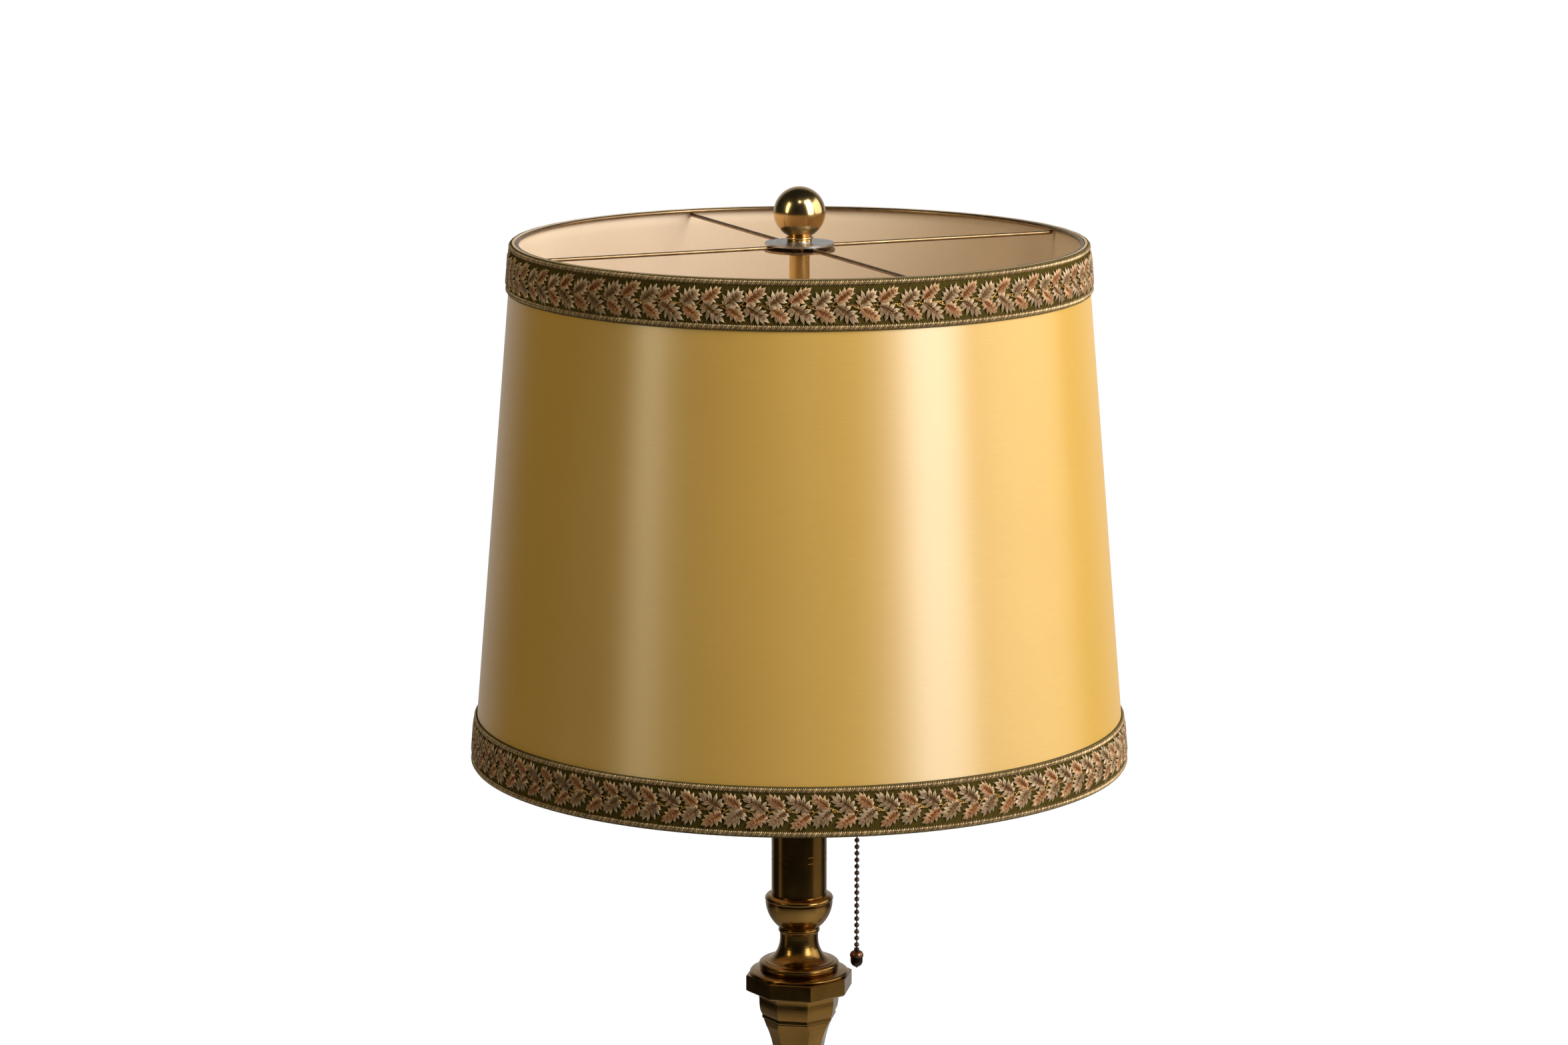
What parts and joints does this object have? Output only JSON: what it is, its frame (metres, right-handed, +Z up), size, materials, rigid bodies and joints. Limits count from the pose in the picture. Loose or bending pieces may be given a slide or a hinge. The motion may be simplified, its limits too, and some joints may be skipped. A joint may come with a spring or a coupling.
{
  "type": "floor lamp",
  "caption": "Candlestick floor lamp with an octagonal brass column, a tapered drum shade with braided bands, and a pull chain.",
  "frame": {"origin": "centre of the base's underside, on the floor, on the column's axis", "axes": "+Z up along the column, -Y to the front, +X to the side where the pull chain hangs"},
  "size_m": [0.4084, 0.4084, 1.4983],
  "materials": {
    "aged_brass": "aged, satin, darkened in the hollows",
    "polished_brass": "polished",
    "socket_brass": "bright rolled sheet",
    "bronze_wire": "dark bronze plating",
    "hub_metal": "dull plated",
    "steel": "zinc plated",
    "cast_iron": "as cast, black",
    "felt": "wool felt",
    "rubber": "matt",
    "lead": "brown-black sleeve",
    "phenolic": "moulded",
    "nylon": "moulded",
    "shade_satin": "gold satin laminated on a stiff film",
    "lining": "pale pinkish ivory, matt",
    "braid": "woven jacquard with gold thread",
    "chain_bronze": "dark bronze plating",
    "acorn": "copper-coloured cap, dark body",
    "aluminium": "bright",
    "bulb_glass": "inside-frosted"
  },
  "bodies": {
    "column": {"base_felt": "felt", "base_weight": "cast_iron", "base_shell": "aged_brass", "cord_bushing": "rubber", "base_washer": "steel", "base_nut": "steel", "lower_pipe": "steel", "foot_block": "aged_brass", "foot_bell": "aged_brass", "lower_shaft": "aged_brass", "shaft_ring": "aged_brass", "pipe_coupling": "steel", "upper_pipe": "steel", "upper_shaft": "aged_brass", "shaft_capital": "aged_brass", "octagon_block": "aged_brass", "bell_neck": "aged_brass", "candle_cup": "aged_brass", "candle_tube": "aged_brass", "cluster_body": "aged_brass", "cluster_cover": "aged_brass", "cluster_nut": "steel", "riser_tube": "aged_brass", "riser_stud": "aged_brass", "supply_lead": "lead", "switch_housing": "aged_brass", "switch_cover": "aged_brass", "chain_spout": "socket_brass", "wheel_pin": "steel", "socket_nipple_rear": "steel", "socket_cap_rear": "socket_brass", "socket_shell_rear": "socket_brass", "socket_block_rear": "phenolic", "screw_shell_rear": "aluminium", "socket_nipple_front": "steel", "socket_cap_front": "socket_brass", "socket_shell_front": "socket_brass", "socket_block_front": "phenolic", "screw_shell_front": "aluminium"},
    "shade": {"shade_panel": "shade_satin", "shade_lining": "lining", "top_ring": "bronze_wire", "bottom_ring": "bronze_wire", "top_braid": "braid", "bottom_braid": "braid", "spider_arms": "bronze_wire", "hub_disc_top": "hub_metal", "hub_disc_bottom": "bronze_wire"},
    "finial_lifter": {"finial_washer": "steel"},
    "finial": {"finial": "polished_brass"},
    "chain_stub": {"chain_stub": "chain_bronze"},
    "chain_joiner": {"chain_joiner": "socket_brass"},
    "pull_chain": {"pull_chain": "chain_bronze", "chain_acorn": "acorn"},
    "switch_wheel": {"switch_wheel": "nylon"},
    "bulb_rear": {"bulb_base_rear": "aluminium", "bulb_glass_rear": "bulb_glass"},
    "bulb_front": {"bulb_base_front": "aluminium", "bulb_glass_front": "bulb_glass"}
  },
  "joints": [
    {"name": "shade_turn", "type": "hinge", "parent": "column", "child": "shade", "pos_m": [0, 0, 1.465], "axis": [0, 0, 1], "continuous": true},
    {"name": "finial_lift", "type": "slide", "parent": "column", "child": "finial_lifter", "axis": [0, 0, 1], "range_m": [0, 0.00752]},
    {"name": "finial_turn", "type": "hinge", "parent": "finial_lifter", "child": "finial", "pos_m": [0, 0, 1.465], "axis": [0, 0, 1], "range_deg": [0, 2880]},
    {"name": "chain_pull", "type": "slide", "parent": "column", "child": "chain_stub", "axis": [0, 0, -1], "range_m": [0, 0.009], "stiffness_N_per_m": 1200},
    {"name": "switch_wheel_turn", "type": "hinge", "parent": "column", "child": "switch_wheel", "pos_m": [0.0318, 0, 1.188], "axis": [0, 1, 0], "range_deg": [0, 115]},
    {"name": "chain_sideways", "type": "hinge", "parent": "chain_stub", "child": "chain_joiner", "pos_m": [0.0363, 0, 1.16711], "axis": [0, -1, 0], "range_deg": [0, 30]},
    {"name": "chain_swing", "type": "hinge", "parent": "chain_joiner", "child": "pull_chain", "pos_m": [0.0363, 0, 1.16711], "axis": [1, 0, 0], "range_deg": [-25, 25]},
    {"name": "bulb_rear_turn", "type": "hinge", "parent": "column", "child": "bulb_rear", "pos_m": [0, 0, 1.17159], "axis": [0, 0.8192, 0.5736], "continuous": true},
    {"name": "bulb_front_turn", "type": "hinge", "parent": "column", "child": "bulb_front", "pos_m": [0, 0, 1.17159], "axis": [0, -0.8192, 0.5736], "continuous": true}
  ],
  "couplings": [
    {"joint": "finial_turn", "follows": "finial_lift", "rad_per_m": 6684.2},
    {"joint": "switch_wheel_turn", "follows": "chain_pull", "rad_per_m": 222.22}
  ]
}
